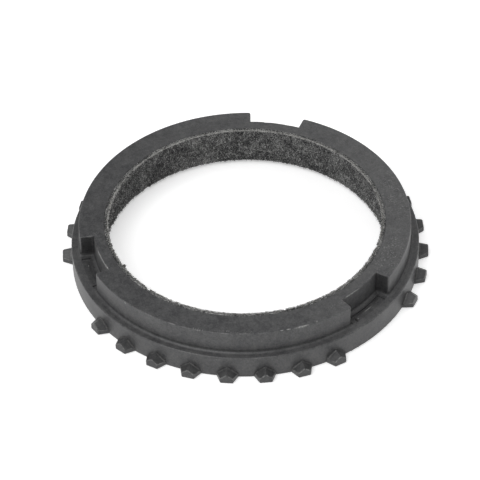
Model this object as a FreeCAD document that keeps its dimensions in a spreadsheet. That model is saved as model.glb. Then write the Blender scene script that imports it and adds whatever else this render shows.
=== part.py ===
import FreeCAD, Part
import math
import os
import Sketcher

# Synchronizer ring: a hardened steel blocker ring with a fibrous friction
# lining bonded inside its cone. Lengths are in millimetres and angles in
# degrees. The ring's axis is Z and its toothed face lies on z = 0. A gear's
# cone enters from below, so the bore is wider there, and the three key
# notches open upwards and outwards.

SIZES = {
    # Turned form of the steel ring
    "ring_height": 11.2,
    "flange_height": 5.65,
    "shelf_width": 1.9,
    "foot_fillet": 0.8,
    "edge_break": 0.25,
    # Steel cone, measured where it meets the upper face
    "cone_top_radius": 31.8,
    "cone_half_angle": 7.0,
    "bore_break": 0.15,
    "bore_lead_in": 0.4,
    # Bonded lining
    "lining_thickness": 0.7,
    "lining_top_inset": 0.05,
    "lining_bottom_inset": 0.9,
    # Blocking teeth
    "tooth_reach": 2.2,
    "tooth_root_half_width": 2.41,
    "tooth_tip_half_width": 1.4,
    "tooth_root_apex": 3.0,
    "tooth_tip_apex": 2.5,
    "tooth_point_angle": 104.0,
    "tooth_sink": 0.8,
    "tooth_rounding": 0.3,
    "tooth_pitch_angle": 12.0,
    "teeth_per_group": 8,
    # Key notches, and the shallow gutter round the foot of their walls
    "notch_count": 3,
    "notch_angle": 19.4,
    "notch_wall": 2.6,
    "notch_depth": 3.2,
    "mouth_rounding": 0.5,
    "gutter_gap": 1.1,
    "gutter_width": 0.85,
    "gutter_depth": 0.35,
}

# Each radius of the ring is one step further out than the one before it: the
# steel cone, the back of a notch, the collar, the flange and the tooth tips
STEPS_OUT = ["cone_top_radius", "notch_wall", "notch_depth", "shelf_width", "tooth_reach"]

FIRST_NOTCH = 90.0
NEAR = 0.02


def vector(x, y, z=0.0):
    return FreeCAD.Vector(x, y, z)


def polar(radius, degrees):
    angle = math.radians(degrees)
    return vector(radius * math.cos(angle), radius * math.sin(angle))


def radius_of(point):
    return math.hypot(point.x, point.y)


def middle_of(edge):
    first, last = edge.ParameterRange
    return edge.valueAt((first + last) / 2)


def add_sheet(doc):
    # One driving dimension to a row, each cell under its own alias
    sheet = doc.addObject("Spreadsheet::Sheet", "Sizes")
    for row, (name, value) in enumerate(SIZES.items(), start=1):
        sheet.set("A%d" % row, name)
        sheet.set("B%d" % row, str(value))
        sheet.setAlias("B%d" % row, name)
    doc.recompute()
    return sheet


def radius_after(sheet, step):
    # The radius that a step ends at, as a number and as a formula of the sheet
    names = STEPS_OUT[:STEPS_OUT.index(step) + 1]
    formula = " + ".join("Sizes." + name for name in names)
    return sum(getattr(sheet, name) for name in names), "(%s)" % formula


def origin_feature(body, role):
    for feature in body.Origin.OriginFeatures:
        if feature.Role == role:
            return feature
    raise RuntimeError("no origin feature " + role)


def add_sketch(body, name, plane_role):
    sketch = body.newObject("Sketcher::SketchObject", name)
    sketch.AttachmentSupport = [(origin_feature(body, plane_role), "")]
    sketch.MapMode = "FlatFace"
    return sketch


def constrain(sketch, kind, *places):
    return sketch.addConstraint(Sketcher.Constraint(kind, *places))


def dimension(sketch, name, formula, kind, *places):
    # A named constraint whose value follows the sheet
    index = constrain(sketch, kind, *places)
    sketch.renameConstraint(index, name)
    sketch.setExpression("Constraints." + name, formula)


def add_outline(sketch, corners):
    # A closed chain of straight lines, joined end to start
    count = len(corners)
    lines = []
    for index in range(count):
        start = corners[index]
        end = corners[(index + 1) % count]
        lines.append(sketch.addGeometry(Part.LineSegment(start, end), False))
    for index in range(count):
        following = lines[(index + 1) % count]
        constrain(sketch, "Coincident", lines[index], 2, following, 1)
    return lines


def add_revolution(body, sketch, name):
    turning = body.newObject("PartDesign::Revolution", name)
    turning.Profile = sketch
    turning.ReferenceAxis = (sketch, ["V_Axis"])
    turning.Angle = 360.0
    body.Tip = turning
    return turning


def add_fillet(body, base, name, size_name, chosen):
    # Rounds every edge of the base that the test picks out
    shape = base.Shape
    names = []
    for index, edge in enumerate(shape.Edges, start=1):
        if chosen(edge):
            names.append("Edge%d" % index)
    if not names:
        raise RuntimeError(name + " found no edge to round")
    fillet = body.newObject("PartDesign::Fillet", name)
    fillet.Base = (base, names)
    fillet.setExpression("Radius", "Sizes." + size_name)
    body.Tip = fillet
    body.Document.recompute()
    return fillet


def add_ring_turning(body, sheet):
    # Half section of the turned ring: flange below, collar above, cone inside
    sketch = add_sketch(body, "ring_section", "XZ_Plane")
    height = sheet.ring_height
    shelf = sheet.flange_height
    flange, flange_formula = radius_after(sheet, "shelf_width")
    collar, collar_formula = radius_after(sheet, "notch_depth")
    top = sheet.cone_top_radius
    widening = math.tan(math.radians(sheet.cone_half_angle))
    bottom = top + height * widening
    lead = sheet.bore_lead_in
    rim = sheet.bore_break
    corners = [
        vector(bottom + lead, 0),
        vector(flange, 0),
        vector(flange, shelf),
        vector(collar, shelf),
        vector(collar, height),
        vector(top + rim, height),
        vector(top + rim * widening, height - rim),
        vector(bottom - lead * widening, lead),
    ]
    underside, flange_wall, shelf_face, collar_wall, top_face, rim_bevel, cone, lead_in = add_outline(
        sketch, corners)
    for line in (underside, shelf_face, top_face):
        constrain(sketch, "Horizontal", line)
    for line in (flange_wall, collar_wall):
        constrain(sketch, "Vertical", line)
    constrain(sketch, "PointOnObject", underside, 1, -1)
    dimension(sketch, "flange_radius", flange_formula, "DistanceX", -1, 1, flange_wall, 1, flange)
    dimension(sketch, "flange_height", "Sizes.flange_height", "DistanceY", -1, 1, flange_wall, 2, shelf)
    dimension(sketch, "collar_radius", collar_formula, "DistanceX", -1, 1, collar_wall, 1, collar)
    dimension(sketch, "ring_height", "Sizes.ring_height", "DistanceY", -1, 1, collar_wall, 2, height)
    cone_radius = "Sizes.cone_top_radius + %s * tan(Sizes.cone_half_angle * 1 deg)"
    dimension(sketch, "rim_radius", "Sizes.cone_top_radius + Sizes.bore_break", "DistanceX",
              -1, 1, top_face, 2, top + rim)
    dimension(sketch, "rim_height", "Sizes.ring_height - Sizes.bore_break", "DistanceY",
              -1, 1, rim_bevel, 2, height - rim)
    dimension(sketch, "cone_start", cone_radius % "Sizes.bore_break", "DistanceX",
              -1, 1, rim_bevel, 2, top + rim * widening)
    dimension(sketch, "lead_in_height", "Sizes.bore_lead_in", "DistanceY", -1, 1, cone, 2, lead)
    dimension(sketch, "cone_end", cone_radius % "(Sizes.ring_height - Sizes.bore_lead_in)", "DistanceX",
              -1, 1, cone, 2, bottom - lead * widening)
    dimension(sketch, "lead_in_radius", cone_radius % "Sizes.ring_height" + " + Sizes.bore_lead_in",
              "DistanceX", -1, 1, lead_in, 2, bottom + lead)
    return add_revolution(body, sketch, "ring_turning")


def add_arc(sketch, radius, low, high):
    # An arc about the ring's axis, between two azimuths
    circle = Part.Circle(vector(0, 0), vector(0, 0, 1), radius)
    arc = Part.ArcOfCircle(circle, math.radians(low), math.radians(high))
    index = sketch.addGeometry(arc, False)
    constrain(sketch, "Coincident", index, 3, -1, 1)
    return index


def add_radial_line(sketch, inner, outer, azimuth):
    # A side line that points at the ring's axis
    index = sketch.addGeometry(Part.LineSegment(polar(inner, azimuth), polar(outer, azimuth)), False)
    constrain(sketch, "PointOnObject", -1, 1, index)
    return index


def centre_on_notch(sketch, name, span_formula, start_line, end_line, span):
    # Two radial lines, spread evenly to both sides of the first notch's middle
    start_formula = "(%g - (%s) / 2) * 1 deg" % (FIRST_NOTCH, span_formula)
    dimension(sketch, name + "_start", start_formula, "Angle", -1, start_line,
              math.radians(FIRST_NOTCH - span / 2))
    dimension(sketch, name + "_span", "(%s) * 1 deg" % span_formula, "Angle", start_line, end_line,
              math.radians(span))


def add_pocket(body, sketch, name, depth_formula):
    pocket = body.newObject("PartDesign::Pocket", name)
    pocket.Profile = sketch
    pocket.setExpression("Length", depth_formula)
    body.Tip = pocket
    body.Document.recompute()
    return pocket


def add_polar_step(body, name, count_formula):
    # Equal copies all the way round the ring's axis
    step = body.newObject("PartDesign::PolarPattern", name)
    step.Axis = (origin_feature(body, "Z_Axis"), [""])
    step.Angle = 360.0
    step.setExpression("Occurrences", count_formula)
    return step


def add_polar_pattern(body, feature, name, count_formula):
    pattern = add_polar_step(body, name, count_formula)
    pattern.Originals = [feature]
    body.Tip = pattern
    body.Document.recompute()
    return pattern


def cut_notches(body, sheet):
    # Each key notch is a sector cut through the collar, down to the shelf
    inner, inner_formula = radius_after(sheet, "notch_wall")
    outer, outer_formula = radius_after(sheet, "shelf_width")
    start = FIRST_NOTCH - sheet.notch_angle / 2
    end = FIRST_NOTCH + sheet.notch_angle / 2
    sketch = add_sketch(body, "notch_plan", "XY_Plane")
    sketch.setExpression("AttachmentOffset.Base.z", "Sizes.ring_height")
    inner_arc = add_arc(sketch, inner, start, end)
    outer_arc = add_arc(sketch, outer, start, end)
    start_side = add_radial_line(sketch, inner, outer, start)
    end_side = add_radial_line(sketch, inner, outer, end)
    constrain(sketch, "Coincident", start_side, 1, inner_arc, 1)
    constrain(sketch, "Coincident", start_side, 2, outer_arc, 1)
    constrain(sketch, "Coincident", end_side, 1, inner_arc, 2)
    constrain(sketch, "Coincident", end_side, 2, outer_arc, 2)
    dimension(sketch, "inner_radius", inner_formula, "Radius", inner_arc, inner)
    dimension(sketch, "outer_radius", outer_formula, "Radius", outer_arc, outer)
    centre_on_notch(sketch, "side", "Sizes.notch_angle", start_side, end_side, sheet.notch_angle)
    notch = add_pocket(body, sketch, "key_notch", "Sizes.ring_height - Sizes.flange_height")
    return add_polar_pattern(body, notch, "key_notches", "Sizes.notch_count")


def cut_gutters(body, sheet):
    # A shallow gutter runs along the three walls of each notch and opens outwards
    back, back_formula = radius_after(sheet, "notch_wall")
    mouth, mouth_formula = radius_after(sheet, "notch_depth")
    inner = back + sheet.gutter_gap
    step = inner + sheet.gutter_width
    per_length = math.degrees(1 / back)
    half_span = sheet.notch_angle / 2 - sheet.gutter_gap * per_length
    half_island = half_span - sheet.gutter_width * per_length
    sketch = add_sketch(body, "gutter_plan", "XY_Plane")
    sketch.setExpression("AttachmentOffset.Base.z", "Sizes.flange_height")
    back_arc = add_arc(sketch, inner, FIRST_NOTCH - half_span, FIRST_NOTCH + half_span)
    step_arc = add_arc(sketch, step, FIRST_NOTCH - half_island, FIRST_NOTCH + half_island)
    start_mouth = add_arc(sketch, mouth, FIRST_NOTCH - half_span, FIRST_NOTCH - half_island)
    end_mouth = add_arc(sketch, mouth, FIRST_NOTCH + half_island, FIRST_NOTCH + half_span)
    start_wall = add_radial_line(sketch, inner, mouth, FIRST_NOTCH - half_span)
    end_wall = add_radial_line(sketch, inner, mouth, FIRST_NOTCH + half_span)
    start_step = add_radial_line(sketch, step, mouth, FIRST_NOTCH - half_island)
    end_step = add_radial_line(sketch, step, mouth, FIRST_NOTCH + half_island)
    joints = [
        (start_wall, 1, back_arc, 1),
        (end_wall, 1, back_arc, 2),
        (start_step, 1, step_arc, 1),
        (end_step, 1, step_arc, 2),
        (start_wall, 2, start_mouth, 1),
        (start_step, 2, start_mouth, 2),
        (end_step, 2, end_mouth, 1),
        (end_wall, 2, end_mouth, 2),
    ]
    for joint in joints:
        constrain(sketch, "Coincident", *joint)
    constrain(sketch, "Equal", start_mouth, end_mouth)
    to_step = "(Sizes.gutter_gap + Sizes.gutter_width)"
    dimension(sketch, "back_radius", back_formula + " + Sizes.gutter_gap", "Radius", back_arc, inner)
    dimension(sketch, "step_radius", back_formula + " + " + to_step, "Radius", step_arc, step)
    dimension(sketch, "mouth_radius", mouth_formula, "Radius", start_mouth, mouth)
    narrowed = "Sizes.notch_angle - 2 * %s / " + back_formula + " * 180 / pi"
    centre_on_notch(sketch, "wall", narrowed % "Sizes.gutter_gap", start_wall, end_wall, 2 * half_span)
    centre_on_notch(sketch, "step", narrowed % to_step, start_step, end_step, 2 * half_island)
    gutter = add_pocket(body, sketch, "notch_gutter", "Sizes.gutter_depth")
    return add_polar_pattern(body, gutter, "notch_gutters", "Sizes.notch_count")


def round_ring(body, base, sheet):
    # The notch's mouths come first, so that the later edges run round them as one smooth chain
    height = sheet.ring_height
    shelf = sheet.flange_height

    def stands_at(radius):
        def chosen(edge):
            spot = middle_of(edge)
            rise = abs(edge.Vertexes[0].Z - edge.Vertexes[-1].Z)
            return abs(rise - (height - shelf)) < NEAR and abs(radius_of(spot) - radius) < NEAR
        return chosen

    def lies_at(level, low, high):
        def chosen(edge):
            spot = middle_of(edge)
            ends = [abs(vertex.Z - level) < NEAR for vertex in edge.Vertexes]
            return all(ends) and abs(spot.z - level) < NEAR and low - NEAR < radius_of(spot) < high + NEAR
        return chosen

    inner = radius_after(sheet, "notch_wall")[0]
    collar = radius_after(sheet, "notch_depth")[0]
    flange = radius_after(sheet, "shelf_width")[0]
    base = add_fillet(body, base, "notch_mouths", "mouth_rounding", stands_at(collar))
    base = add_fillet(body, base, "wall_foot", "foot_fillet", lies_at(shelf, inner, collar))
    base = add_fillet(body, base, "upper_edges", "edge_break", lies_at(height, inner, collar))
    base = add_fillet(body, base, "shelf_edge", "edge_break", lies_at(shelf, flange, flange))
    return add_fillet(body, base, "lower_edge", "edge_break", lies_at(0, flange, flange))


def turn_to_tooth(sketch, axis):
    # Turns a sketch about the ring's axis to the azimuth of the first tooth
    turn = ("(%g - 180 / Sizes.notch_count + (Sizes.teeth_per_group - 1) / 2 * Sizes.tooth_pitch_angle)"
            " * 1 deg" % FIRST_NOTCH)
    sketch.AttachmentOffset = FreeCAD.Placement(vector(0, 0), FreeCAD.Rotation(axis, 1))
    sketch.setExpression("AttachmentOffset.Rotation.Angle", turn)
    return turn


def add_tooth_plan(body, tip, root):
    # The tooth seen from above: it narrows in straight lines from a little inside the flange to its tip
    sketch = add_sketch(body, "tooth_plan", "XY_Plane")
    turn_to_tooth(sketch, vector(0, 0, 1))
    corners = [
        vector(root["radius"], -root["half_width"]),
        vector(tip["radius"], -tip["half_width"]),
        vector(tip["radius"], tip["half_width"]),
        vector(root["radius"], root["half_width"]),
    ]
    right_flank, tip_line, left_flank, root_line = add_outline(sketch, corners)
    for line, place in ((tip_line, tip), (root_line, root)):
        constrain(sketch, "Symmetric", line, 1, line, 2, -1)
        dimension(sketch, place["name"] + "_radius", place["radius_formula"], "DistanceX",
                  -1, 1, line, 1, place["radius"])
    dimension(sketch, "tip_half_width", tip["half_width_formula"], "DistanceY",
              -1, 1, tip_line, 2, tip["half_width"])
    dimension(sketch, "root_half_width", root["half_width_formula"], "DistanceY",
              -1, 1, root_line, 1, root["half_width"])
    return sketch


def add_tooth_ridge(body, tip, root):
    # The line along the top of the roof, which drops towards the tip
    sketch = add_sketch(body, "tooth_ridge", "XZ_Plane")
    turn_to_tooth(sketch, vector(0, 1, 0))
    ridge = sketch.addGeometry(Part.LineSegment(
        vector(root["radius"], root["apex"]), vector(tip["radius"], tip["apex"])), False)
    for end, place in ((1, root), (2, tip)):
        dimension(sketch, place["name"] + "_radius", place["radius_formula"], "DistanceX",
                  -1, 1, ridge, end, place["radius"])
        dimension(sketch, place["name"] + "_apex", place["apex_formula"], "DistanceY",
                  -1, 1, ridge, end, place["apex"])
    return sketch


def add_roof_section(body, sheet, tip):
    # What is cut away above the two slopes of the roof, drawn square to the radius at the tip
    sketch = add_sketch(body, "tooth_roof_section", "YZ_Plane")
    turn = turn_to_tooth(sketch, vector(0, 1, 0))
    sketch.setExpression("AttachmentOffset.Base.x", "(%s) * sin(%s)" % (tip["radius_formula"], turn))
    sketch.setExpression("AttachmentOffset.Base.z", "(%s) * cos(%s)" % (tip["radius_formula"], turn))
    apex = tip["apex"]
    reach = sheet.tooth_root_half_width + sheet.tooth_sink
    drop = reach / math.tan(math.radians(sheet.tooth_point_angle / 2))
    top = sheet.ring_height
    corners = [
        vector(0, apex),
        vector(reach, apex - drop),
        vector(reach, top),
        vector(-reach, top),
        vector(-reach, apex - drop),
    ]
    right_roof, right_side, lid, left_side, left_roof = add_outline(sketch, corners)
    constrain(sketch, "PointOnObject", right_roof, 1, -2)
    constrain(sketch, "Vertical", right_side)
    constrain(sketch, "Symmetric", right_roof, 2, left_side, 2, -2)
    constrain(sketch, "Symmetric", lid, 1, lid, 2, -2)
    reach_formula = "(Sizes.tooth_root_half_width + Sizes.tooth_sink)"
    dimension(sketch, "half_reach", reach_formula, "DistanceX", -1, 1, right_side, 1, reach)
    dimension(sketch, "apex_height", tip["apex_formula"], "DistanceY", -1, 1, right_roof, 1, apex)
    dimension(sketch, "slope_drop", reach_formula + " / tan(Sizes.tooth_point_angle / 2 * 1 deg)", "DistanceY",
              right_roof, 2, right_roof, 1, drop)
    dimension(sketch, "lid_height", "Sizes.ring_height", "DistanceY", -1, 1, lid, 1, top)
    return sketch


def build_tooth_set(doc, sheet):
    # One tooth is padded from its plan and roofed by a cut that runs along its sloping ridge
    body = doc.addObject("PartDesign::Body", "tooth_set")
    body.AllowCompound = True
    tip_radius, tip_formula = radius_after(sheet, "tooth_reach")
    flange, flange_formula = radius_after(sheet, "shelf_width")
    share = 1 + sheet.tooth_sink / sheet.tooth_reach

    def grown(tip_size, root_size):
        # A size carried on from the tip, past the flange's wall, to the sunk root
        number = getattr(sheet, tip_size) + (getattr(sheet, root_size) - getattr(sheet, tip_size)) * share
        return number, "Sizes.%s + (Sizes.%s - Sizes.%s) * (1 + Sizes.tooth_sink / Sizes.tooth_reach)" % (
            tip_size, root_size, tip_size)

    root_half_width, root_half_width_formula = grown("tooth_tip_half_width", "tooth_root_half_width")
    root_apex, root_apex_formula = grown("tooth_tip_apex", "tooth_root_apex")
    tip = {
        "name": "tip",
        "radius": tip_radius, "radius_formula": tip_formula,
        "half_width": sheet.tooth_tip_half_width, "half_width_formula": "Sizes.tooth_tip_half_width",
        "apex": sheet.tooth_tip_apex, "apex_formula": "Sizes.tooth_tip_apex",
    }
    root = {
        "name": "root",
        "radius": flange - sheet.tooth_sink, "radius_formula": flange_formula + " - Sizes.tooth_sink",
        "half_width": root_half_width, "half_width_formula": root_half_width_formula,
        "apex": root_apex, "apex_formula": root_apex_formula,
    }
    blank = body.newObject("PartDesign::Pad", "tooth_blank")
    blank.Profile = add_tooth_plan(body, tip, root)
    blank.setExpression("Length", "Sizes.flange_height")
    body.Tip = blank
    ridge = add_tooth_ridge(body, tip, root)
    section = add_roof_section(body, sheet, tip)
    doc.recompute()
    roof = body.newObject("PartDesign::Pocket", "tooth_roof")
    roof.Profile = section
    roof.Type = "ThroughAll"
    roof.ReferenceAxis = (ridge, ["Edge1"])
    body.Tip = roof
    doc.recompute()

    def starts_at_tip(edge):
        return any(radius_of(vertex.Point) > tip_radius - NEAR for vertex in edge.Vertexes)

    add_fillet(body, roof, "tooth_edges", "tooth_rounding", starts_at_tip)
    teeth = body.newObject("PartDesign::MultiTransform", "blocking_teeth")
    teeth.TransformMode = "Whole shape"
    row = add_polar_step(body, "tooth_row", "Sizes.teeth_per_group")
    row.Reversed = True
    row.setExpression("Angle", "(Sizes.teeth_per_group - 1) * Sizes.tooth_pitch_angle")
    groups = add_polar_step(body, "tooth_groups", "Sizes.notch_count")
    teeth.Transformations = [row, groups]
    body.Tip = teeth
    doc.recompute()
    return body


def build_ring(doc, sheet, tooth_set):
    body = doc.addObject("PartDesign::Body", "blocker_ring")
    add_ring_turning(body, sheet)
    doc.recompute()
    base = cut_notches(body, sheet)
    round_ring(body, base, sheet)
    cut_gutters(body, sheet)
    toothed = body.newObject("PartDesign::Boolean", "toothed_ring")
    toothed.Type = "Fuse"
    toothed.Group = [tooth_set]
    body.Tip = toothed
    doc.recompute()
    return body


def build_lining(doc, sheet):
    # The lining follows the steel cone face to face and stops short of both rims
    body = doc.addObject("PartDesign::Body", "friction_lining")
    sketch = add_sketch(body, "lining_section", "XZ_Plane")
    widening = math.tan(math.radians(sheet.cone_half_angle))
    low = sheet.lining_bottom_inset
    high = sheet.ring_height - sheet.lining_top_inset
    outer_low = sheet.cone_top_radius + (sheet.ring_height - low) * widening
    outer_high = sheet.cone_top_radius + sheet.lining_top_inset * widening
    thickness = sheet.lining_thickness
    corners = [
        vector(outer_low, low),
        vector(outer_high, high),
        vector(outer_high - thickness, high),
        vector(outer_low - thickness, low),
    ]
    back, top_edge, rubbing_face, lower_edge = add_outline(sketch, corners)
    constrain(sketch, "Horizontal", top_edge)
    constrain(sketch, "Horizontal", lower_edge)
    back_radius = "Sizes.cone_top_radius + %s * tan(Sizes.cone_half_angle * 1 deg)"
    low_formula = back_radius % "(Sizes.ring_height - Sizes.lining_bottom_inset)"
    high_formula = back_radius % "Sizes.lining_top_inset"
    dimension(sketch, "lower_height", "Sizes.lining_bottom_inset", "DistanceY", -1, 1, back, 1, low)
    dimension(sketch, "upper_height", "Sizes.ring_height - Sizes.lining_top_inset", "DistanceY",
              -1, 1, back, 2, high)
    dimension(sketch, "lower_radius", low_formula, "DistanceX", -1, 1, back, 1, outer_low)
    dimension(sketch, "upper_radius", high_formula, "DistanceX", -1, 1, back, 2, outer_high)
    dimension(sketch, "upper_thickness", "Sizes.lining_thickness", "DistanceX", rubbing_face, 1, back, 2, thickness)
    dimension(sketch, "lower_thickness", "Sizes.lining_thickness", "DistanceX", rubbing_face, 2, back, 1, thickness)
    add_revolution(body, sketch, "lining_ring")
    doc.recompute()
    return body


def check_document(doc, bodies):
    for item in doc.Objects:
        for state in item.State:
            if state in ("Invalid", "Error"):
                raise RuntimeError("%s is %s" % (item.Name, state))
    for body in bodies:
        shape = body.Shape
        if shape.isNull() or not shape.isValid() or len(shape.Solids) != 1:
            raise RuntimeError(body.Label + " is not one valid solid")


def main():
    doc = FreeCAD.newDocument("synchronizer_ring")
    sheet = add_sheet(doc)
    tooth_set = build_tooth_set(doc, sheet)
    bodies = [build_ring(doc, sheet, tooth_set), build_lining(doc, sheet)]
    doc.recompute()
    check_document(doc, bodies)
    os.makedirs("parts", exist_ok=True)
    for body in bodies:
        body.Shape.exportStep("parts/%s.step" % body.Label)
        print("%s: %.1f mm3" % (body.Label, body.Shape.Volume))


main()
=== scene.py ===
import math

import bpy
from mathutils import Matrix, Vector, noise


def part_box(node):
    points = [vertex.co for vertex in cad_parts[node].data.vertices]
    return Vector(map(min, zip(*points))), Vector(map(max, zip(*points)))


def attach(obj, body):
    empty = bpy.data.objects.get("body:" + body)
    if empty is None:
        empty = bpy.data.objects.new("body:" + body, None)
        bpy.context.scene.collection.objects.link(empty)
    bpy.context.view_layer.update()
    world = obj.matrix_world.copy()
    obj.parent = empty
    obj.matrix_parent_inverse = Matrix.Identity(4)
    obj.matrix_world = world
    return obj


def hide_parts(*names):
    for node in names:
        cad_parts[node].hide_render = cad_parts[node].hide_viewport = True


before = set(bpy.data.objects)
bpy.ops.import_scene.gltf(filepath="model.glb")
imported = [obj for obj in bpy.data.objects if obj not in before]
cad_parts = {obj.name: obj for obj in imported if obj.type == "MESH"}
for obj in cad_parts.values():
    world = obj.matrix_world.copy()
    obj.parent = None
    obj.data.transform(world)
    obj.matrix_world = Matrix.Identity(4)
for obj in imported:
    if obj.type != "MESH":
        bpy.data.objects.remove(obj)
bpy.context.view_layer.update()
scene = bpy.context.scene

mm = 0.001
noEnd = 99.0   # mm, past every part of the ring


def linear(hexColour):
    # an sRGB hex colour as linear RGBA
    channels = [int(hexColour[i:i + 2], 16) / 255 for i in (1, 3, 5)]
    return tuple(c / 12.92 if c <= 0.04045 else ((c + 0.055) / 1.055) ** 2.4 for c in channels) + (1.0,)


def addNode(tree, kind, values=None):
    # one node; a value sets an attribute or a socket, and a node or an output is linked to the socket
    node = tree.nodes.new(kind)
    for name, value in (values or {}).items():
        if isinstance(value, bpy.types.Node):
            value = value.outputs[0]
        if isinstance(value, bpy.types.NodeSocket):
            tree.links.new(value, node.inputs[name])
        elif isinstance(name, str) and hasattr(node, name):
            setattr(node, name, value)
        else:
            node.inputs[name].default_value = value
    return node


def newMaterial(name):
    material = bpy.data.materials.new(name)
    material.use_nodes = True
    material.node_tree.nodes.clear()
    return material, material.node_tree


# Camera at the photograph's angle: long lens, looking down from the front; places in mm
cameraView = {
    "place": (115.404, -516.290, 483.864),
    "target": (-1.110, -0.480, 5.0),
    "roll": -1.333,
    "lens": 235.26,
    "sensor": 36.0,
    "nearest": 0.01,        # metres
    "farthest": 20.0,
}


def addCamera():
    data = bpy.data.cameras.new("studioCamera")
    data.lens = cameraView["lens"]
    data.sensor_width = cameraView["sensor"]
    data.clip_start = cameraView["nearest"]
    data.clip_end = cameraView["farthest"]
    camera = bpy.data.objects.new("studioCamera", data)
    scene.collection.objects.link(camera)
    place = Vector(cameraView["place"]) * mm
    target = Vector(cameraView["target"]) * mm
    turn = (target - place).to_track_quat("-Z", "Y").to_matrix().to_4x4()
    roll = Matrix.Rotation(math.radians(cameraView["roll"]), 4, "Z")
    camera.matrix_world = Matrix.Translation(place) @ turn @ roll
    scene.camera = camera
    print("camera placed")


studio = {
    "floorSize": 6.0,       # metres
    "floorDrop": 0.02,      # mm under the ring, so that the two faces don't share a plane
    "floorColour": "#f2f2f2",
    "floorGlow": 0.45,
    "skyLevel": 0.28,       # the room above the horizon
    "horizonLevel": 0.85,   # a pale band along the horizon, seen only from low down
    "horizonRise": (0.08, 0.3),      # how far up the band ends, from 0 at the horizon to 1 overhead
    "boxes": [
        # degrees round from the camera and above the floor, metres away, metres wide, watts
        {"name": "topBox", "around": -42, "above": 66, "away": 1.8, "wide": 1.35, "power": 15.0},
        {"name": "frontBox", "around": -50, "above": 36, "away": 1.1, "wide": 0.8, "power": 2.2},
        {"name": "rightBox", "around": 70, "above": 34, "away": 1.1, "wide": 0.6, "power": 1.0},
        {"name": "backBox", "around": 145, "above": 50, "away": 0.5, "wide": 0.32, "power": 0.34},
    ],
}


def addWorld():
    world = bpy.data.worlds.new("studioWorld")
    scene.world = world
    world.use_nodes = True
    tree = world.node_tree
    tree.nodes.clear()
    toward = addNode(tree, "ShaderNodeTexCoord").outputs["Generated"]
    rise = addNode(tree, "ShaderNodeSeparateXYZ", {0: toward}).outputs["Z"]
    level = addNode(tree, "ShaderNodeMapRange", {
        "Value": rise, "From Min": studio["horizonRise"][0], "From Max": studio["horizonRise"][1],
        "To Min": studio["horizonLevel"], "To Max": studio["skyLevel"]})
    back = addNode(tree, "ShaderNodeBackground", {"Color": (1, 1, 1, 1), "Strength": level})
    addNode(tree, "ShaderNodeOutputWorld", {"Surface": back})
    print("room lit")


def whitePaper():
    # smooth white paper: dull, and where the camera or a glossy face sees it, it glows to a clear white
    material, tree = newMaterial("whitePaper")
    rays = addNode(tree, "ShaderNodeLightPath")
    paper = addNode(tree, "ShaderNodeBsdfDiffuse", {"Color": linear(studio["floorColour"])})
    glow = addNode(tree, "ShaderNodeEmission", {"Color": (1, 1, 1, 1), "Strength": studio["floorGlow"]})
    lit = addNode(tree, "ShaderNodeAddShader", {0: paper, 1: glow})
    shown = rays.outputs["Is Camera Ray"]
    for seenBy in ("Is Glossy Ray", "Is Transmission Ray"):
        shown = addNode(tree, "ShaderNodeMath", {"operation": "MAXIMUM", 0: shown, 1: rays.outputs[seenBy]})
    seen = addNode(tree, "ShaderNodeMixShader", {0: shown, 1: paper, 2: lit})
    addNode(tree, "ShaderNodeOutputMaterial", {"Surface": seen})
    return material


def addFloor():
    half = studio["floorSize"] / 2
    mesh = bpy.data.meshes.new("studioFloor")
    corners = [(-half, -half, 0), (half, -half, 0), (half, half, 0), (-half, half, 0)]
    mesh.from_pydata(corners, [], [(0, 1, 2, 3)])
    mesh.transform(Matrix.Translation((0, 0, -studio["floorDrop"] * mm)))
    mesh.materials.append(whitePaper())
    floor = bpy.data.objects.new("studioFloor", mesh)
    scene.collection.objects.link(floor)
    print("floor laid")


def addBoxes():
    facing = math.atan2(cameraView["place"][1], cameraView["place"][0])
    for box in studio["boxes"]:
        data = bpy.data.lights.new(box["name"], "AREA")
        data.size = box["wide"]
        data.energy = box["power"]
        lamp = bpy.data.objects.new(box["name"], data)
        scene.collection.objects.link(lamp)
        azimuth = facing + math.radians(box["around"])
        height = math.radians(box["above"])
        flat = box["away"] * math.cos(height)
        place = Vector((flat * math.cos(azimuth), flat * math.sin(azimuth), box["away"] * math.sin(height)))
        turn = (-place).to_track_quat("-Z", "Y").to_matrix().to_4x4()
        lamp.matrix_world = Matrix.Translation(place) @ turn
    print(len(studio["boxes"]), "softboxes hung")


def ringMeasures(tree, place):
    # height over the toothed face and distance from the axis
    apart = addNode(tree, "ShaderNodeSeparateXYZ", {0: place})
    flat = addNode(tree, "ShaderNodeCombineXYZ", {"X": apart.outputs["X"], "Y": apart.outputs["Y"]})
    radius = addNode(tree, "ShaderNodeVectorMath", {"operation": "LENGTH", 0: flat}).outputs["Value"]
    return {"level": apart.outputs["Z"], "radius": radius}


def addZone(tree, measures, bands):
    # a mask that is 1 where each measure is in its band: from, to, and how far it fades outside them
    mask = 1.0
    for name, band in bands.items():
        low, high, soft = (edge * (1 if name == "facing" else mm) for edge in band)
        for outside, inside in ((low - soft, low), (high + soft, high)):
            step = addNode(tree, "ShaderNodeMapRange", {
                "Value": measures[name], "From Min": outside, "From Max": inside})
            mask = addNode(tree, "ShaderNodeMath", {"operation": "MULTIPLY", 0: mask, 1: step})
    return mask


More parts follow.
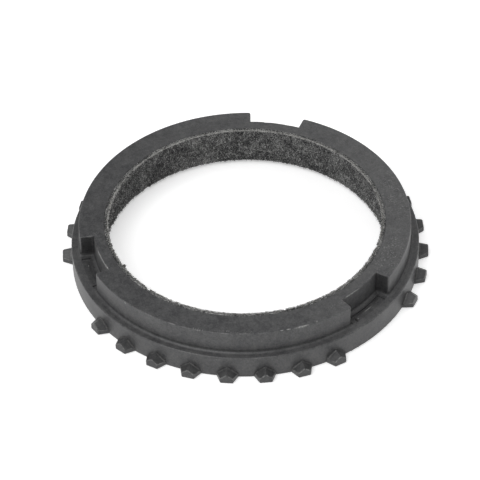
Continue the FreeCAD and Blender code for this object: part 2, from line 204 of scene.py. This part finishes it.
steelFinish = {
    "coat": ("#343436", "#5c5c5c"),
    "coatStart": -1.0,     # added to the noises' shares, so that the darkest coat comes out near 0
    "coatNoises": {
        # mm across one patch, detail, and share in the coat's tone
        "cloud": (4.0, 2.0, 0.7),
        "mottle": (0.9, 3.0, 1.1),
        "grain": (0.3, 2.0, 1.2),    # the real crystals are a tenth of this and don't show from here
    },
    # painted light: the top face's tone is painted paler towards this side and darker away from it
    "paintedLightTowards": (0.75, 0.66, 0.0),
    "paintedLightReach": 38.0,     # mm from the axis to the two ends of the top face
    "paintedLightTones": (-0.252, 0.168),    # added to the coat's tone at those ends
    "bumpStrength": 0.5,
    "bumpDepth": 0.02,     # mm
    "roughness": (0.34, 0.54),       # in the mottle's dark and pale parts
    "specular": 0.5,
    "zones": {
        # heights and radii in mm; facing runs from 0 on a wall to 1 on a face that looks up
        "topFace": {"level": (11.19, noEnd, 0.09)},
        "gutterFloor": {"level": (5.2, 5.6, 0.1), "radius": (35.3, 37.6, 0.2)},
        "gutterBack": {"level": (5.2, 5.7, 0.1), "radius": (35.3, 36.2, 0.2)},
        "notchWalls": {"level": (5.9, 10.9, 0.1), "radius": (34.3, 37.3, 0.1)},
        "notchMouth": {"radius": (35.2, noEnd, 0.7)},
        "notchFeet": {"level": (5.7, 6.4, 0.1), "radius": (35.3, 37.5, 0.1)},
        "collarFoot": {"level": (5.75, 6.4, 0.1), "facing": (0.1, 0.55, 0.15)},
        "collarLip": {"radius": (37.40, 37.55, 0.05), "level": (11.0, noEnd, 0.1)},
        "flangeLip": {"radius": (39.28, 39.45, 0.05), "level": (5.45, 5.7, 0.05)},
        "teeth": {"radius": (39.9, noEnd, 0.55)},
        "toothShoulders": {"facing": (0.2, 0.62, 0.12), "radius": (40.0, noEnd, 0.3)},
        "toothRoots": {"facing": (0.7, 0.9, 0.05), "radius": (39.6, 39.85, 0.1)},
    },
    # painted shade: crevices, feet and roots, the notch's walls and its gutter are painted darker where shade
    # falls
    "creviceReach": 1.3,   # mm from a foot or root to where its painted shade ends
    "creviceOpenness": (0.95, 0.35),     # how open a spot is where its painted shade starts and where it is full
    "creviceShade": (0.9, 0.1),      # everywhere, and in the gutter, which would come out too black
    "wallShade": (0.15, 0.80),       # at the notch's back wall and at its mouth
    "zoneShade": {"gutterBack": 0.4, "collarFoot": 0.8, "notchFeet": 0.7},
    "shadeTone": 0.45,     # what full painted shade leaves of the coat's brightness
    "shadeSpecular": -0.3,           # added to specular by full painted shade
    "toothTone": 0.72,     # what the teeth keep of the coat's brightness
    # the pale colour of bare steel, used for wear and for painted highlights
    "wearAndHighlightColour": "#a9a9a7",
    "wearAndHighlightMetallic": 0.7,
    "wearAndHighlightRoughness": -0.08,          # added to roughness on bare steel and on painted highlights
    "wearAndHighlightPatches": {
        # mm across one patch, detail, and the values between which it shows
        "chips": (0.4, 2.0, 0.38, 0.60),
        "specks": (0.3, 1.0, 0.56, 0.68),
        "speckGroups": (1.6, 1.0, 0.40, 0.60),
        "toothRubsAndGlints": (0.7, 3.0, 0.36, 0.66),
        "edgeRubsAndGlints": (2.2, 2.0, 0.46, 0.62),
    },
    "chippedMarks": (0.35, 1.0),     # a mark's strength where the coat held and where it chipped off
    # the teeth's roots and shoulders and the lips are worn and also painted with highlights where light
    # catches them
    "rootShare": 0.6,      # a tooth's root, against its shoulders
    "toothWearAndHighlight": 0.42,
    "edgeWearAndHighlight": 0.2,
    "dotWear": 0.3,
    "dotSpacing": 2.4,     # mm between handling marks
    "dotSize": 0.13,
    "dotCore": 0.5,        # the share of a dot, or of a mark, that is full before it fades
    "dotChoice": 0.7,      # the share of places left without a dot
    "markDepth": 0.5,      # mm that a mark reaches up and down from its height
    # marks: azimuth in degrees, radius and height of the middle in mm, half the length and half the width
    # in mm, strength
    # rubbed bare spots, and five painted highlights among them
    "rubsAndHighlights": [
        (301.2, 37.45, 11.1, 1.90, 0.18, 1.00),
        (296.5, 37.42, 11.1, 0.60, 0.16, 0.90),
        (294.2, 37.40, 11.1, 0.50, 0.15, 0.75),
        (281.0, 37.45, 11.1, 2.40, 0.10, 0.30),
        (306.7, 37.30, 11.2, 0.25, 0.20, 0.60),
        (264.3, 37.35, 11.15, 0.09, 0.40, 0.70),
        (265.1, 37.30, 11.15, 0.08, 0.30, 0.55),
        (265.9, 37.35, 11.15, 0.10, 0.45, 0.75),
        (266.6, 37.35, 11.15, 0.08, 0.35, 0.60),
        (267.5, 37.30, 11.15, 0.09, 0.30, 0.55),
        (256.6, 37.50, 11.1, 1.10, 0.11, 0.45),
        (258.0, 36.90, 11.2, 0.40, 0.12, 0.30),
        (237.3, 37.60, 10.9, 0.35, 0.25, 0.45),
        (353.7, 32.80, 11.2, 0.45, 0.20, 0.35),
        (350.9, 34.20, 11.2, 0.55, 0.22, 0.30),
        (212.5, 34.34, 11.1, 4.20, 0.13, 0.60),
        (218.0, 34.34, 11.1, 1.30, 0.18, 1.00),
        (325.5, 34.30, 11.1, 2.60, 0.11, 0.50),
        (322.6, 34.30, 11.1, 0.50, 0.12, 0.55),
        (200.2, 35.30, 11.1, 0.15, 1.00, 0.28),
        # the next five are painted highlights: on a tooth's tip, on the right gutter's edge by its near end
        # wall, at the foot of that notch's far end wall on its outer corner, and along the two gutters' outer
        # edges
        (348.4, 41.30, 2.3, 0.25, 0.45, 1.00),
        (324.3, 36.95, 5.65, 0.22, 0.22, 0.60),
        (339.2, 37.60, 6.2, 0.20, 0.20, 0.60),
        (206.2, 36.42, 5.6, 0.30, 0.14, 0.90),
        (330.0, 36.45, 5.65, 1.50, 0.12, 0.80),
    ],
    # scuffed: the same figures, for patches of fine bright specks
    "scuffed": [
        (278.0, 36.90, 11.2, 6.0, 0.70, 0.40),
        (352.0, 34.60, 11.2, 9.0, 3.20, 0.38),
        (25.0, 34.60, 11.2, 11.0, 3.20, 0.32),
        (200.0, 34.60, 11.2, 2.0, 2.50, 0.20),
        (318.0, 35.00, 11.2, 3.0, 1.60, 0.25),
    ],
}


def addMarks(tree, place, marks):
    # one ellipse for each mark, full in its core and faded at its rim
    found = 0.0
    for azimuth, radius, level, along, across, strength in marks:
        turn = math.radians(azimuth)
        spot = addNode(tree, "ShaderNodeMapping", {
            "vector_type": "TEXTURE", "Vector": place,
            "Location": (radius * mm * math.cos(turn), radius * mm * math.sin(turn), level * mm),
            "Rotation": (0, 0, turn), "Scale": (across * mm, along * mm, steelFinish["markDepth"] * mm)})
        away = addNode(tree, "ShaderNodeVectorMath", {"operation": "LENGTH", 0: spot}).outputs["Value"]
        mark = addNode(tree, "ShaderNodeMapRange", {
            "Value": away, "From Min": 1.0, "From Max": steelFinish["dotCore"], "To Max": strength})
        found = addNode(tree, "ShaderNodeMath", {"operation": "MAXIMUM", 0: found, 1: mark})
    return found


def phosphatedSteel():
    # carburised steel with an oiled phosphate coat: dark grey and satin, blotched, paler where it is handled,
    # with painted shade in crevices and the notch, painted highlights on edges and a few marks, and a top
    # face painted paler towards one side
    finish = steelFinish
    material, tree = newMaterial("oiledPhosphatedSteel")
    place = addNode(tree, "ShaderNodeTexCoord").outputs["Object"]
    measures = ringMeasures(tree, place)
    normal = addNode(tree, "ShaderNodeNewGeometry").outputs["Normal"]
    measures["facing"] = addNode(tree, "ShaderNodeSeparateXYZ", {0: normal}).outputs["Z"]
    zones = {name: addZone(tree, measures, bands) for name, bands in finish["zones"].items()}

    tone = finish["coatStart"]
    noises = {}
    for name, (size, detail, share) in finish["coatNoises"].items():
        noises[name] = addNode(tree, "ShaderNodeTexNoise", {
            "Vector": place, "Scale": 1 / (size * mm), "Detail": detail})
        tone = addNode(tree, "ShaderNodeMath", {
            "operation": "MULTIPLY_ADD", 0: noises[name], 1: share, 2: tone})
    # painted light: the top face is painted paler towards one side and darker towards the other, as light
    # falls across it unevenly
    side = addNode(tree, "ShaderNodeVectorMath", {
        "operation": "DOT_PRODUCT", 0: place, 1: finish["paintedLightTowards"]}).outputs["Value"]
    lean = addNode(tree, "ShaderNodeMapRange", {
        "Value": side, "From Min": -finish["paintedLightReach"] * mm, "From Max": finish["paintedLightReach"] * mm,
        "To Min": finish["paintedLightTones"][0], "To Max": finish["paintedLightTones"][1]})
    tone = addNode(tree, "ShaderNodeMath", {
        "operation": "MULTIPLY_ADD", 0: lean, 1: zones["topFace"], 2: tone})
    coat = addNode(tree, "ShaderNodeMix", {
        "data_type": "RGBA", 0: tone, 6: linear(finish["coat"][0]), 7: linear(finish["coat"][1])}).outputs[2]

    # painted shade: the coat is painted darker in feet and roots, on the notch's walls and in its gutter,
    # where shade falls
    openness = addNode(tree, "ShaderNodeAmbientOcclusion", {
        "samples": 8, "only_local": True, "Distance": finish["creviceReach"] * mm}).outputs["AO"]
    closed = addNode(tree, "ShaderNodeMapRange", {
        "Value": openness,
        "From Min": finish["creviceOpenness"][0], "From Max": finish["creviceOpenness"][1]})
    paintedShade = 0.0
    for covered, across, (start, end) in (
            (closed, zones["gutterFloor"], finish["creviceShade"]),
            (zones["notchWalls"], zones["notchMouth"], finish["wallShade"])):
        most = addNode(tree, "ShaderNodeMapRange", {"Value": across, "To Min": start, "To Max": end})
        layer = addNode(tree, "ShaderNodeMath", {"operation": "MULTIPLY", 0: covered, 1: most})
        paintedShade = addNode(tree, "ShaderNodeMath", {"operation": "MAXIMUM", 0: paintedShade, 1: layer})
    for name, strength in finish["zoneShade"].items():
        layer = addNode(tree, "ShaderNodeMath", {"operation": "MULTIPLY", 0: zones[name], 1: strength})
        paintedShade = addNode(tree, "ShaderNodeMath", {"operation": "MAXIMUM", 0: paintedShade, 1: layer})
    # the coat is darkened by the painted shade, and on the teeth by their own darker tone
    for mask, darkest in ((paintedShade, finish["shadeTone"]), (zones["teeth"], finish["toothTone"])):
        shade = addNode(tree, "ShaderNodeMapRange", {"Value": mask, "To Min": 1.0, "To Max": darkest})
        coat = addNode(tree, "ShaderNodeVectorMath", {"operation": "SCALE", 0: coat, "Scale": shade})

    # bare steel and painted highlights: the listed marks, five of them painted highlights; the teeth's
    # shoulders and roots and the lips, worn and painted with highlights; and a few handling dots
    patches = {}
    for name, (size, detail, low, high) in finish["wearAndHighlightPatches"].items():
        field = addNode(tree, "ShaderNodeTexNoise", {
            "Vector": place, "Scale": 1 / (size * mm), "Detail": detail})
        patches[name] = addNode(tree, "ShaderNodeMapRange", {
            "Value": field, "From Min": low, "From Max": high})
    chipped = addNode(tree, "ShaderNodeMapRange", {
        "Value": patches["chips"],
        "To Min": finish["chippedMarks"][0], "To Max": finish["chippedMarks"][1]})
    teeth = addNode(tree, "ShaderNodeMath", {
        "operation": "MULTIPLY_ADD",
        0: zones["toothRoots"], 1: finish["rootShare"], 2: zones["toothShoulders"]})
    lips = addNode(tree, "ShaderNodeMath", {
        "operation": "MAXIMUM", 0: zones["collarLip"], 1: zones["flangeLip"]})
    cells = addNode(tree, "ShaderNodeTexVoronoi", {"Vector": place, "Scale": 1 / (finish["dotSpacing"] * mm)})
    reach = finish["dotSize"] / finish["dotSpacing"]
    dots = addNode(tree, "ShaderNodeMapRange", {
        "Value": cells.outputs["Distance"], "From Min": reach, "From Max": reach * finish["dotCore"]})
    cellColour = addNode(tree, "ShaderNodeSeparateColor", {0: cells.outputs["Color"]})
    chosen = addNode(tree, "ShaderNodeMath", {
        "operation": "GREATER_THAN", 0: cellColour, 1: finish["dotChoice"]})
    # bare: worn steel together with the painted highlights
    bare = 0.0
    wearLayers = (
        # what is worn and what is painted with a highlight, the patches it shows through, and how much
        (addMarks(tree, place, finish["rubsAndHighlights"]), (chipped,), 1.0),
        (addMarks(tree, place, finish["scuffed"]), (patches["specks"], patches["speckGroups"]), 1.0),
        (teeth, (patches["toothRubsAndGlints"],), finish["toothWearAndHighlight"]),
        (lips, (patches["chips"], patches["edgeRubsAndGlints"]), finish["edgeWearAndHighlight"]),
        (dots, (chosen,), finish["dotWear"]),
    )
    for layer, covers, strength in wearLayers:
        for factor in covers + (strength,):
            layer = addNode(tree, "ShaderNodeMath", {"operation": "MULTIPLY", 0: layer, 1: factor})
        bare = addNode(tree, "ShaderNodeMath", {"operation": "MAXIMUM", 0: bare, 1: layer})

    colour = addNode(tree, "ShaderNodeMix", {
        "data_type": "RGBA", 0: bare, 6: coat, 7: linear(finish["wearAndHighlightColour"])}).outputs[2]
    rough = addNode(tree, "ShaderNodeMapRange", {
        "Value": noises["mottle"], "To Min": finish["roughness"][0], "To Max": finish["roughness"][1]})
    rough = addNode(tree, "ShaderNodeMath", {
        "operation": "MULTIPLY_ADD", 0: bare, 1: finish["wearAndHighlightRoughness"], 2: rough})
    metal = addNode(tree, "ShaderNodeMath", {"operation": "MULTIPLY", 0: bare, 1: finish["wearAndHighlightMetallic"]})
    # the specular is lowered where shade is painted
    specular = addNode(tree, "ShaderNodeMath", {
        "operation": "MULTIPLY_ADD", 0: paintedShade, 1: finish["shadeSpecular"], 2: finish["specular"]})
    relief = addNode(tree, "ShaderNodeMath", {"operation": "ADD", 0: noises["grain"], 1: noises["mottle"]})
    bump = addNode(tree, "ShaderNodeBump", {
        "Strength": finish["bumpStrength"], "Distance": finish["bumpDepth"] * mm, "Height": relief})
    steel = addNode(tree, "ShaderNodeBsdfPrincipled", {
        "IOR": 1.5, "Base Color": colour, "Metallic": metal, "Roughness": rough,
        "Specular IOR Level": specular, "Normal": bump})
    addNode(tree, "ShaderNodeOutputMaterial", {"Surface": steel})
    return material


def finishRing():
    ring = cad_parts["blocker_ring"]
    ring.data.materials.clear()
    ring.data.materials.append(phosphatedSteel())
    print("ring finished in phosphated steel")


# The lining is a band of matted carbon and aramid fibre, cut to width, rolled and bonded to the cone; in mm
lining = {
    "coneAngle": 7.0,
    "thickness": 0.7,
    "columns": 1000,
    "rows": 44,
    "grainRadius": 31.5,     # near the lining's own radius, so that the noises' sizes come out in mm
    "reliefSize": 0.55,      # across one lump of the mat
    "reliefDepth": 0.05,
    "fineRelief": (2.3, 0.6),    # how many times finer and how strong the lumps on the lumps are
    "raggedDepth": 0.16,
    "raggedReach": 0.6,      # from a cut edge to where the face is even again
    "raggedDrop": 0.2,       # how far the bites cut into the width
    "raggedTop": ((1.1, 1.7), (0.385, 5.1)),     # coarse and fine bites: length along the edge, and seed
    "raggedFoot": ((1.98, 9.3), (0.55, 3.9)),
    "raggedFine": 0.5,       # how strong the fine bites are
    "cornerRound": 0.22,
    "cornerMiddle": 0.3,     # where the middle of a rounded corner lies, as a share of its round
    "edgeMiddle": 0.6,       # where the middle of a cut edge lies, as a share of the thickness
    "specks": (0.3, 3.0, 0.75),      # across one pore or fibre end, detail and roughness of the pattern
    "patches": (3.5, 2.0),           # across one paler or darker patch, and detail
    "patchShare": 0.35,
    "tones": ((0.58, "#1f1f20"), (0.68, "#4d4d4d"), (0.80, "#a2a2a0")),
    "cutColour": "#8f8e8a",
    "cutShows": (0.46, 0.6),         # the speck values between which a cut end shows
    "cutZone": {"level": (11.0, noEnd, 0.25), "radius": (0.0, 31.25, 0.3)},
    "bumpStrength": 0.8,
    "bumpDepth": 0.06,
    "roughness": 0.85,
}


def frictionPaper():
    # resin-bonded fibre paper, dull, with dark pores between lighter fibre ends
    material, tree = newMaterial("resinBondedFibrePaper")
    place = addNode(tree, "ShaderNodeTexCoord").outputs["Object"]
    speckSize, speckDetail, speckRoughness = lining["specks"]
    speck = addNode(tree, "ShaderNodeTexNoise", {
        "Vector": place, "Scale": 1 / (speckSize * mm), "Detail": speckDetail, "Roughness": speckRoughness})
    patchSize, patchDetail = lining["patches"]
    patch = addNode(tree, "ShaderNodeTexNoise", {
        "Vector": place, "Scale": 1 / (patchSize * mm), "Detail": patchDetail})
    mixed = addNode(tree, "ShaderNodeMath", {
        "operation": "MULTIPLY_ADD", 0: patch, 1: lining["patchShare"], 2: speck})
    tone = addNode(tree, "ShaderNodeValToRGB", {"Fac": mixed})
    stops = tone.color_ramp.elements
    for index, (position, colour) in enumerate(lining["tones"]):
        stop = stops[index] if index < len(stops) else stops.new(position)
        stop.position = position
        stop.color = linear(colour)

    # the top corner, where the cut fibre ends show pale
    corner = addZone(tree, ringMeasures(tree, place), lining["cutZone"])
    ends = addNode(tree, "ShaderNodeMapRange", {
        "Value": speck, "From Min": lining["cutShows"][0], "From Max": lining["cutShows"][1]})
    cut = addNode(tree, "ShaderNodeMath", {"operation": "MULTIPLY", 0: corner, 1: ends})
    colour = addNode(tree, "ShaderNodeMix", {
        "data_type": "RGBA", 0: cut, 6: tone, 7: linear(lining["cutColour"])}).outputs[2]
    bump = addNode(tree, "ShaderNodeBump", {
        "Strength": lining["bumpStrength"], "Distance": lining["bumpDepth"] * mm, "Height": speck})
    paper = addNode(tree, "ShaderNodeBsdfPrincipled", {
        "Roughness": lining["roughness"], "IOR": 1.45, "Base Color": colour, "Normal": bump})
    addNode(tree, "ShaderNodeOutputMaterial", {"Surface": paper})
    return material


def addLiningSheet():
    lowest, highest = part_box("friction_lining")
    low, high, widest = lowest.z / mm, highest.z / mm, highest.x / mm
    slope = math.tan(math.radians(lining["coneAngle"]))
    columns, rows = lining["columns"], lining["rows"]
    thick, bend = lining["thickness"], lining["cornerRound"]
    finer, finerShare = lining["fineRelief"]

    def wander(angle, size, seed):
        # noise that closes on itself round the ring
        return noise.noise(Vector((math.cos(angle), math.sin(angle), seed)) * (lining["grainRadius"] / size))

    def bites(angle, edge):
        coarse, fine = lining[edge]
        return wander(angle, *coarse) + lining["raggedFine"] * wander(angle, *fine)

    # the section, from the steel's foot up the rubbing face and back over the cut edge
    corner, middle = bend * lining["cornerMiddle"], thick * lining["edgeMiddle"]
    face = [low + bend + (high - low - 2 * bend) * row / (rows - 1) for row in range(rows)]
    section = [(thick, low), (middle, low), (bend, low), (corner, low + corner)]
    section += [(0.0, height) for height in face]
    section += [(corner, high - corner), (bend, high), (middle, high), (thick, high)]
    vertices = []
    for column in range(columns):
        angle = 2 * math.pi * column / columns
        ragTop, ragFoot = bites(angle, "raggedTop"), bites(angle, "raggedFoot")
        for inward, height in section:
            radius = widest - (height - low) * slope - thick + inward
            free = 1 - inward / thick
            spot = Vector((math.cos(angle) * radius, math.sin(angle) * radius, height)) / lining["reliefSize"]
            relief = (noise.noise(spot) + finerShare * noise.noise(spot * finer)) * lining["reliefDepth"]
            nearTop = max(0.0, 1 - (high - height) / lining["raggedReach"])
            nearFoot = max(0.0, 1 - (height - low) / lining["raggedReach"])
            radius -= free * (relief + (ragTop * nearTop + ragFoot * nearFoot) * lining["raggedDepth"])
            height += free * (nearFoot * abs(ragFoot) - nearTop * abs(ragTop)) * lining["raggedDrop"]
            vertices.append((math.cos(angle) * radius * mm, math.sin(angle) * radius * mm, height * mm))
    span = len(section)
    faces = []
    for column in range(columns):
        here, there = column * span, (column + 1) % columns * span
        for step in range(span):
            following = (step + 1) % span
            faces.append((here + step, here + following, there + following, there + step))
    mesh = bpy.data.meshes.new("liningSheet")
    mesh.from_pydata(vertices, [], faces)
    mesh.polygons.foreach_set("use_smooth", [True] * len(faces))
    mesh.materials.append(frictionPaper())
    sheet = bpy.data.objects.new("liningSheet", mesh)
    scene.collection.objects.link(sheet)
    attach(sheet, "root")
    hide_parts("friction_lining")
    print("lining sheet made,", len(faces), "faces")


def fibreMaterial(name, dark, light, roughness):
    # single carbon and aramid fibres, drawn coarser than they are so that they show: a fibre's tone is its
    # own, from the random value that it carries
    material, tree = newMaterial(name)
    tone = addNode(tree, "ShaderNodeAttribute", {"attribute_name": "fibreTone"}).outputs["Fac"]
    colour = addNode(tree, "ShaderNodeMix", {
        "data_type": "RGBA", 0: tone, 6: linear(dark), 7: linear(light)}).outputs[2]
    fibre = addNode(tree, "ShaderNodeBsdfPrincipled", {
        "Roughness": roughness, "IOR": 1.5, "Base Color": colour})
    addNode(tree, "ShaderNodeOutputMaterial", {"Surface": fibre})
    return material


# One fibre: its bent line as shares of its length, the sides of its section, and how much lengths vary
fibreShape = {
    "start": (0, -0.5, 0),
    "knee": (0.16, 0, 0.2),
    "end": (0, 0.5, 0),
    "sides": 3,
    "bends": 2,
    "lengths": (0.45, 1.35),
}


def fibreTree():
    # scatters short bent fibres over a band of the cone, lying about along its surface
    tree = bpy.data.node_groups.new("scatterFibres", "GeometryNodeTree")
    inputs = (("Count", "Int"), ("Seed", "Int"), ("Length", "Float"), ("Thickness", "Float"),
              ("Low", "Float"), ("High", "Float"), ("Foot Radius", "Float"), ("Lean", "Float"),
              ("Lift", "Float"), ("Spread", "Float"), ("Stray", "Float"), ("Patch Size", "Float"),
              ("Bare Below", "Float"), ("From Angle", "Float"), ("To Angle", "Float"),
              ("Material", "Material"))
    for name, kind in inputs:
        tree.interface.new_socket(name, in_out="INPUT", socket_type="NodeSocket" + kind)
    tree.interface.new_socket("Fibres", in_out="OUTPUT", socket_type="NodeSocketGeometry")
    given = addNode(tree, "NodeGroupInput").outputs

    def chance(offset, low, high):
        # a random number for each fibre, between two values or sockets
        seed = addNode(tree, "ShaderNodeMath", {"operation": "ADD", 0: given["Seed"], 1: offset})
        return addNode(tree, "FunctionNodeRandomValue", {
            "data_type": "FLOAT", 2: low, 3: high, "Seed": seed}).outputs[1]

    # a point on the cone, or a little off it towards the axis
    azimuth = chance(1, given["From Angle"], given["To Angle"])
    height = chance(2, given["Low"], given["High"])
    slope = addNode(tree, "ShaderNodeMath", {"operation": "TANGENT", 0: given["Lean"]})
    narrowing = addNode(tree, "ShaderNodeMath", {"operation": "MULTIPLY", 0: height, 1: slope})
    radius = given["Foot Radius"]
    for less in (narrowing, chance(3, 0.0, given["Lift"])):
        radius = addNode(tree, "ShaderNodeMath", {"operation": "SUBTRACT", 0: radius, 1: less})
    flat = addNode(tree, "ShaderNodeCombineXYZ", {"X": radius, "Z": height})
    place = addNode(tree, "ShaderNodeVectorRotate", {
        "rotation_type": "Z_AXIS", "Vector": flat, "Angle": azimuth})
    points = addNode(tree, "GeometryNodePoints", {"Count": given["Count"], "Position": place})

    # bare patches, where the noise is low
    fineness = addNode(tree, "ShaderNodeMath", {"operation": "DIVIDE", 0: 1.0, 1: given["Patch Size"]})
    patch = addNode(tree, "ShaderNodeTexNoise", {"Detail": 2.0, "Scale": fineness})
    bare = addNode(tree, "FunctionNodeCompare", {
        "data_type": "FLOAT", "operation": "LESS_THAN", 0: patch, 1: given["Bare Below"]})
    kept = addNode(tree, "GeometryNodeDeleteGeometry", {
        "domain": "POINT", "Geometry": points, "Selection": bare})

    # each fibre lies along the cone, spun on it at random and tipped a little out of it
    back = {}
    for name in ("Spread", "Stray"):
        back[name] = addNode(tree, "ShaderNodeMath", {"operation": "MULTIPLY", 0: given[name], 1: -1.0})
    spin = chance(4, back["Spread"], given["Spread"])
    tip = chance(5, back["Stray"], given["Stray"])
    veer = chance(6, back["Stray"], given["Stray"])
    pitch = addNode(tree, "ShaderNodeMath", {"operation": "SUBTRACT", 0: tip, 1: given["Lean"]})
    yaw = addNode(tree, "ShaderNodeMath", {"operation": "ADD", 0: veer, 1: azimuth})
    turn = addNode(tree, "ShaderNodeCombineXYZ", {"X": spin, "Y": pitch, "Z": yaw})
    rotation = addNode(tree, "FunctionNodeEulerToRotation", {0: turn})
    stretch = addNode(tree, "ShaderNodeCombineXYZ", {
        "X": 1.0, "Y": chance(7, *fibreShape["lengths"]), "Z": 1.0})

    line = {}
    for name in ("start", "knee", "end"):
        line[name] = addNode(tree, "ShaderNodeVectorMath", {
            "operation": "SCALE", 0: fibreShape[name], "Scale": given["Length"]})
    spine = addNode(tree, "GeometryNodeCurveQuadraticBezier", {
        "Resolution": fibreShape["bends"],
        "Start": line["start"], "Middle": line["knee"], "End": line["end"]})
    half = addNode(tree, "ShaderNodeMath", {"operation": "MULTIPLY", 0: given["Thickness"], 1: 0.5})
    profile = addNode(tree, "GeometryNodeCurvePrimitiveCircle", {
        "Resolution": fibreShape["sides"], "Radius": half})
    fibre = addNode(tree, "GeometryNodeCurveToMesh", {
        "Fill Caps": True, "Curve": spine, "Profile Curve": profile})
    scattered = addNode(tree, "GeometryNodeInstanceOnPoints", {
        "Points": kept, "Instance": fibre, "Rotation": rotation, "Scale": stretch})
    toned = addNode(tree, "GeometryNodeStoreNamedAttribute", {
        "data_type": "FLOAT", "domain": "INSTANCE", "Name": "fibreTone",
        "Geometry": scattered, "Value": chance(8, 0.0, 1.0)})
    plain = addNode(tree, "GeometryNodeRealizeInstances", {0: toned})
    finished = addNode(tree, "GeometryNodeSetMaterial", {"Geometry": plain, "Material": given["Material"]})
    addNode(tree, "NodeGroupOutput", {0: finished})
    return tree


fibres = {
    # count, length and thickness in mm, band in mm from the lining's foot, lift in mm, spread and stray in
    # degrees, bare patches as their size in mm and the noise below which nothing grows, arc in degrees
    "liningFibresDark": {"count": 5500, "length": 1.1, "thick": 0.08, "band": (0.2, 10.1), "lift": 0.10,
                         "spread": 90, "stray": 6, "patches": (2.0, 0.3), "colours": ("#161617", "#343435"),
                         "roughness": 0.45, "arc": (0, 360)},
    "liningFibresGrey": {"count": 7000, "length": 0.9, "thick": 0.075, "band": (0.2, 10.15), "lift": 0.11,
                         "spread": 90, "stray": 7, "patches": (2.5, 0.42), "colours": ("#5a5a5a", "#8c8c8c"),
                         "roughness": 0.5, "arc": (0, 360)},
    "liningFibresPale": {"count": 5000, "length": 0.6, "thick": 0.09, "band": (0.2, 10.2), "lift": 0.13,
                         "spread": 90, "stray": 8, "patches": (1.8, 0.45), "colours": ("#8f8f8f", "#dddcda"),
                         "roughness": 0.55, "arc": (0, 360)},
    "liningRimFray": {"count": 7000, "length": 0.42, "thick": 0.055, "band": (10.08, 10.24), "lift": 0.14,
                      "spread": 80, "stray": 28, "patches": (0.9, 0.40), "colours": ("#858484", "#dddcd8"),
                      "roughness": 0.6, "arc": (0, 360)},
    "liningRimDark": {"count": 2600, "length": 0.5, "thick": 0.08, "band": (9.95, 10.25), "lift": 0.22,
                      "spread": 90, "stray": 35, "patches": (0.6, 0.5), "colours": ("#1d1d1e", "#454545"),
                      "roughness": 0.5, "arc": (158, 395)},
    "liningFootFray": {"count": 2000, "length": 0.5, "thick": 0.06, "band": (0.05, 0.25), "lift": 0.12,
                       "spread": 80, "stray": 14, "patches": (1.5, 0.45), "colours": ("#2c2c2d", "#7b7b79"),
                       "roughness": 0.6, "arc": (0, 360)},
    "liningTufts": {"count": 1300, "length": 0.5, "thick": 0.075, "band": (9.2, 10.2), "lift": 0.3,
                    "spread": 90, "stray": 28, "patches": (0.5, 0.53), "colours": ("#8f8f8e", "#f0efec"),
                    "roughness": 0.6, "arc": (158, 204)},
    "liningLint": {"count": 60, "length": 0.5, "thick": 0.08, "band": (10.15, 10.45), "lift": 0.45,
                   "spread": 90, "stray": 70, "patches": (9.0, 0.0), "colours": ("#2c2c2c", "#8f8e8a"),
                   "roughness": 0.6, "arc": (220.7, 222.0)},
}


def addFibres():
    tree = fibreTree()
    sockets = [socket for socket in tree.interface.items_tree if socket.in_out == "INPUT"]
    identifiers = {socket.name: socket.identifier for socket in sockets}
    low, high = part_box("friction_lining")
    lean = math.radians(lining["coneAngle"])
    footRadius = high.x + low.z * math.tan(lean) - lining["thickness"] * mm
    for order, (name, layer) in enumerate(fibres.items(), 1):
        values = {
            "Count": layer["count"], "Seed": 100 * order,
            "Length": layer["length"] * mm, "Thickness": layer["thick"] * mm,
            "Low": low.z + layer["band"][0] * mm, "High": low.z + layer["band"][1] * mm,
            "Foot Radius": footRadius, "Lean": lean, "Lift": layer["lift"] * mm,
            "Spread": math.radians(layer["spread"]), "Stray": math.radians(layer["stray"]),
            "Patch Size": layer["patches"][0] * mm, "Bare Below": layer["patches"][1],
            "From Angle": math.radians(layer["arc"][0]), "To Angle": math.radians(layer["arc"][1]),
            "Material": fibreMaterial(name + "Finish", *layer["colours"], layer["roughness"]),
        }
        holder = bpy.data.objects.new(name + "Holder", bpy.data.meshes.new(name + "Holder"))
        scene.collection.objects.link(holder)
        modifier = holder.modifiers.new("scatter", "NODES")
        modifier.node_group = tree
        for socket, value in values.items():
            modifier[identifiers[socket]] = value
        made = holder.evaluated_get(bpy.context.evaluated_depsgraph_get())
        mesh = bpy.data.meshes.new_from_object(made)
        mesh.name = name
        piece = bpy.data.objects.new(name, mesh)
        scene.collection.objects.link(piece)
        bpy.data.objects.remove(holder)
        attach(piece, "root")
        print(name, "made,", len(mesh.polygons), "faces")


addCamera()
addWorld()
addFloor()
addBoxes()
scene.view_settings.view_transform = "Standard"
finishRing()
addLiningSheet()
addFibres()
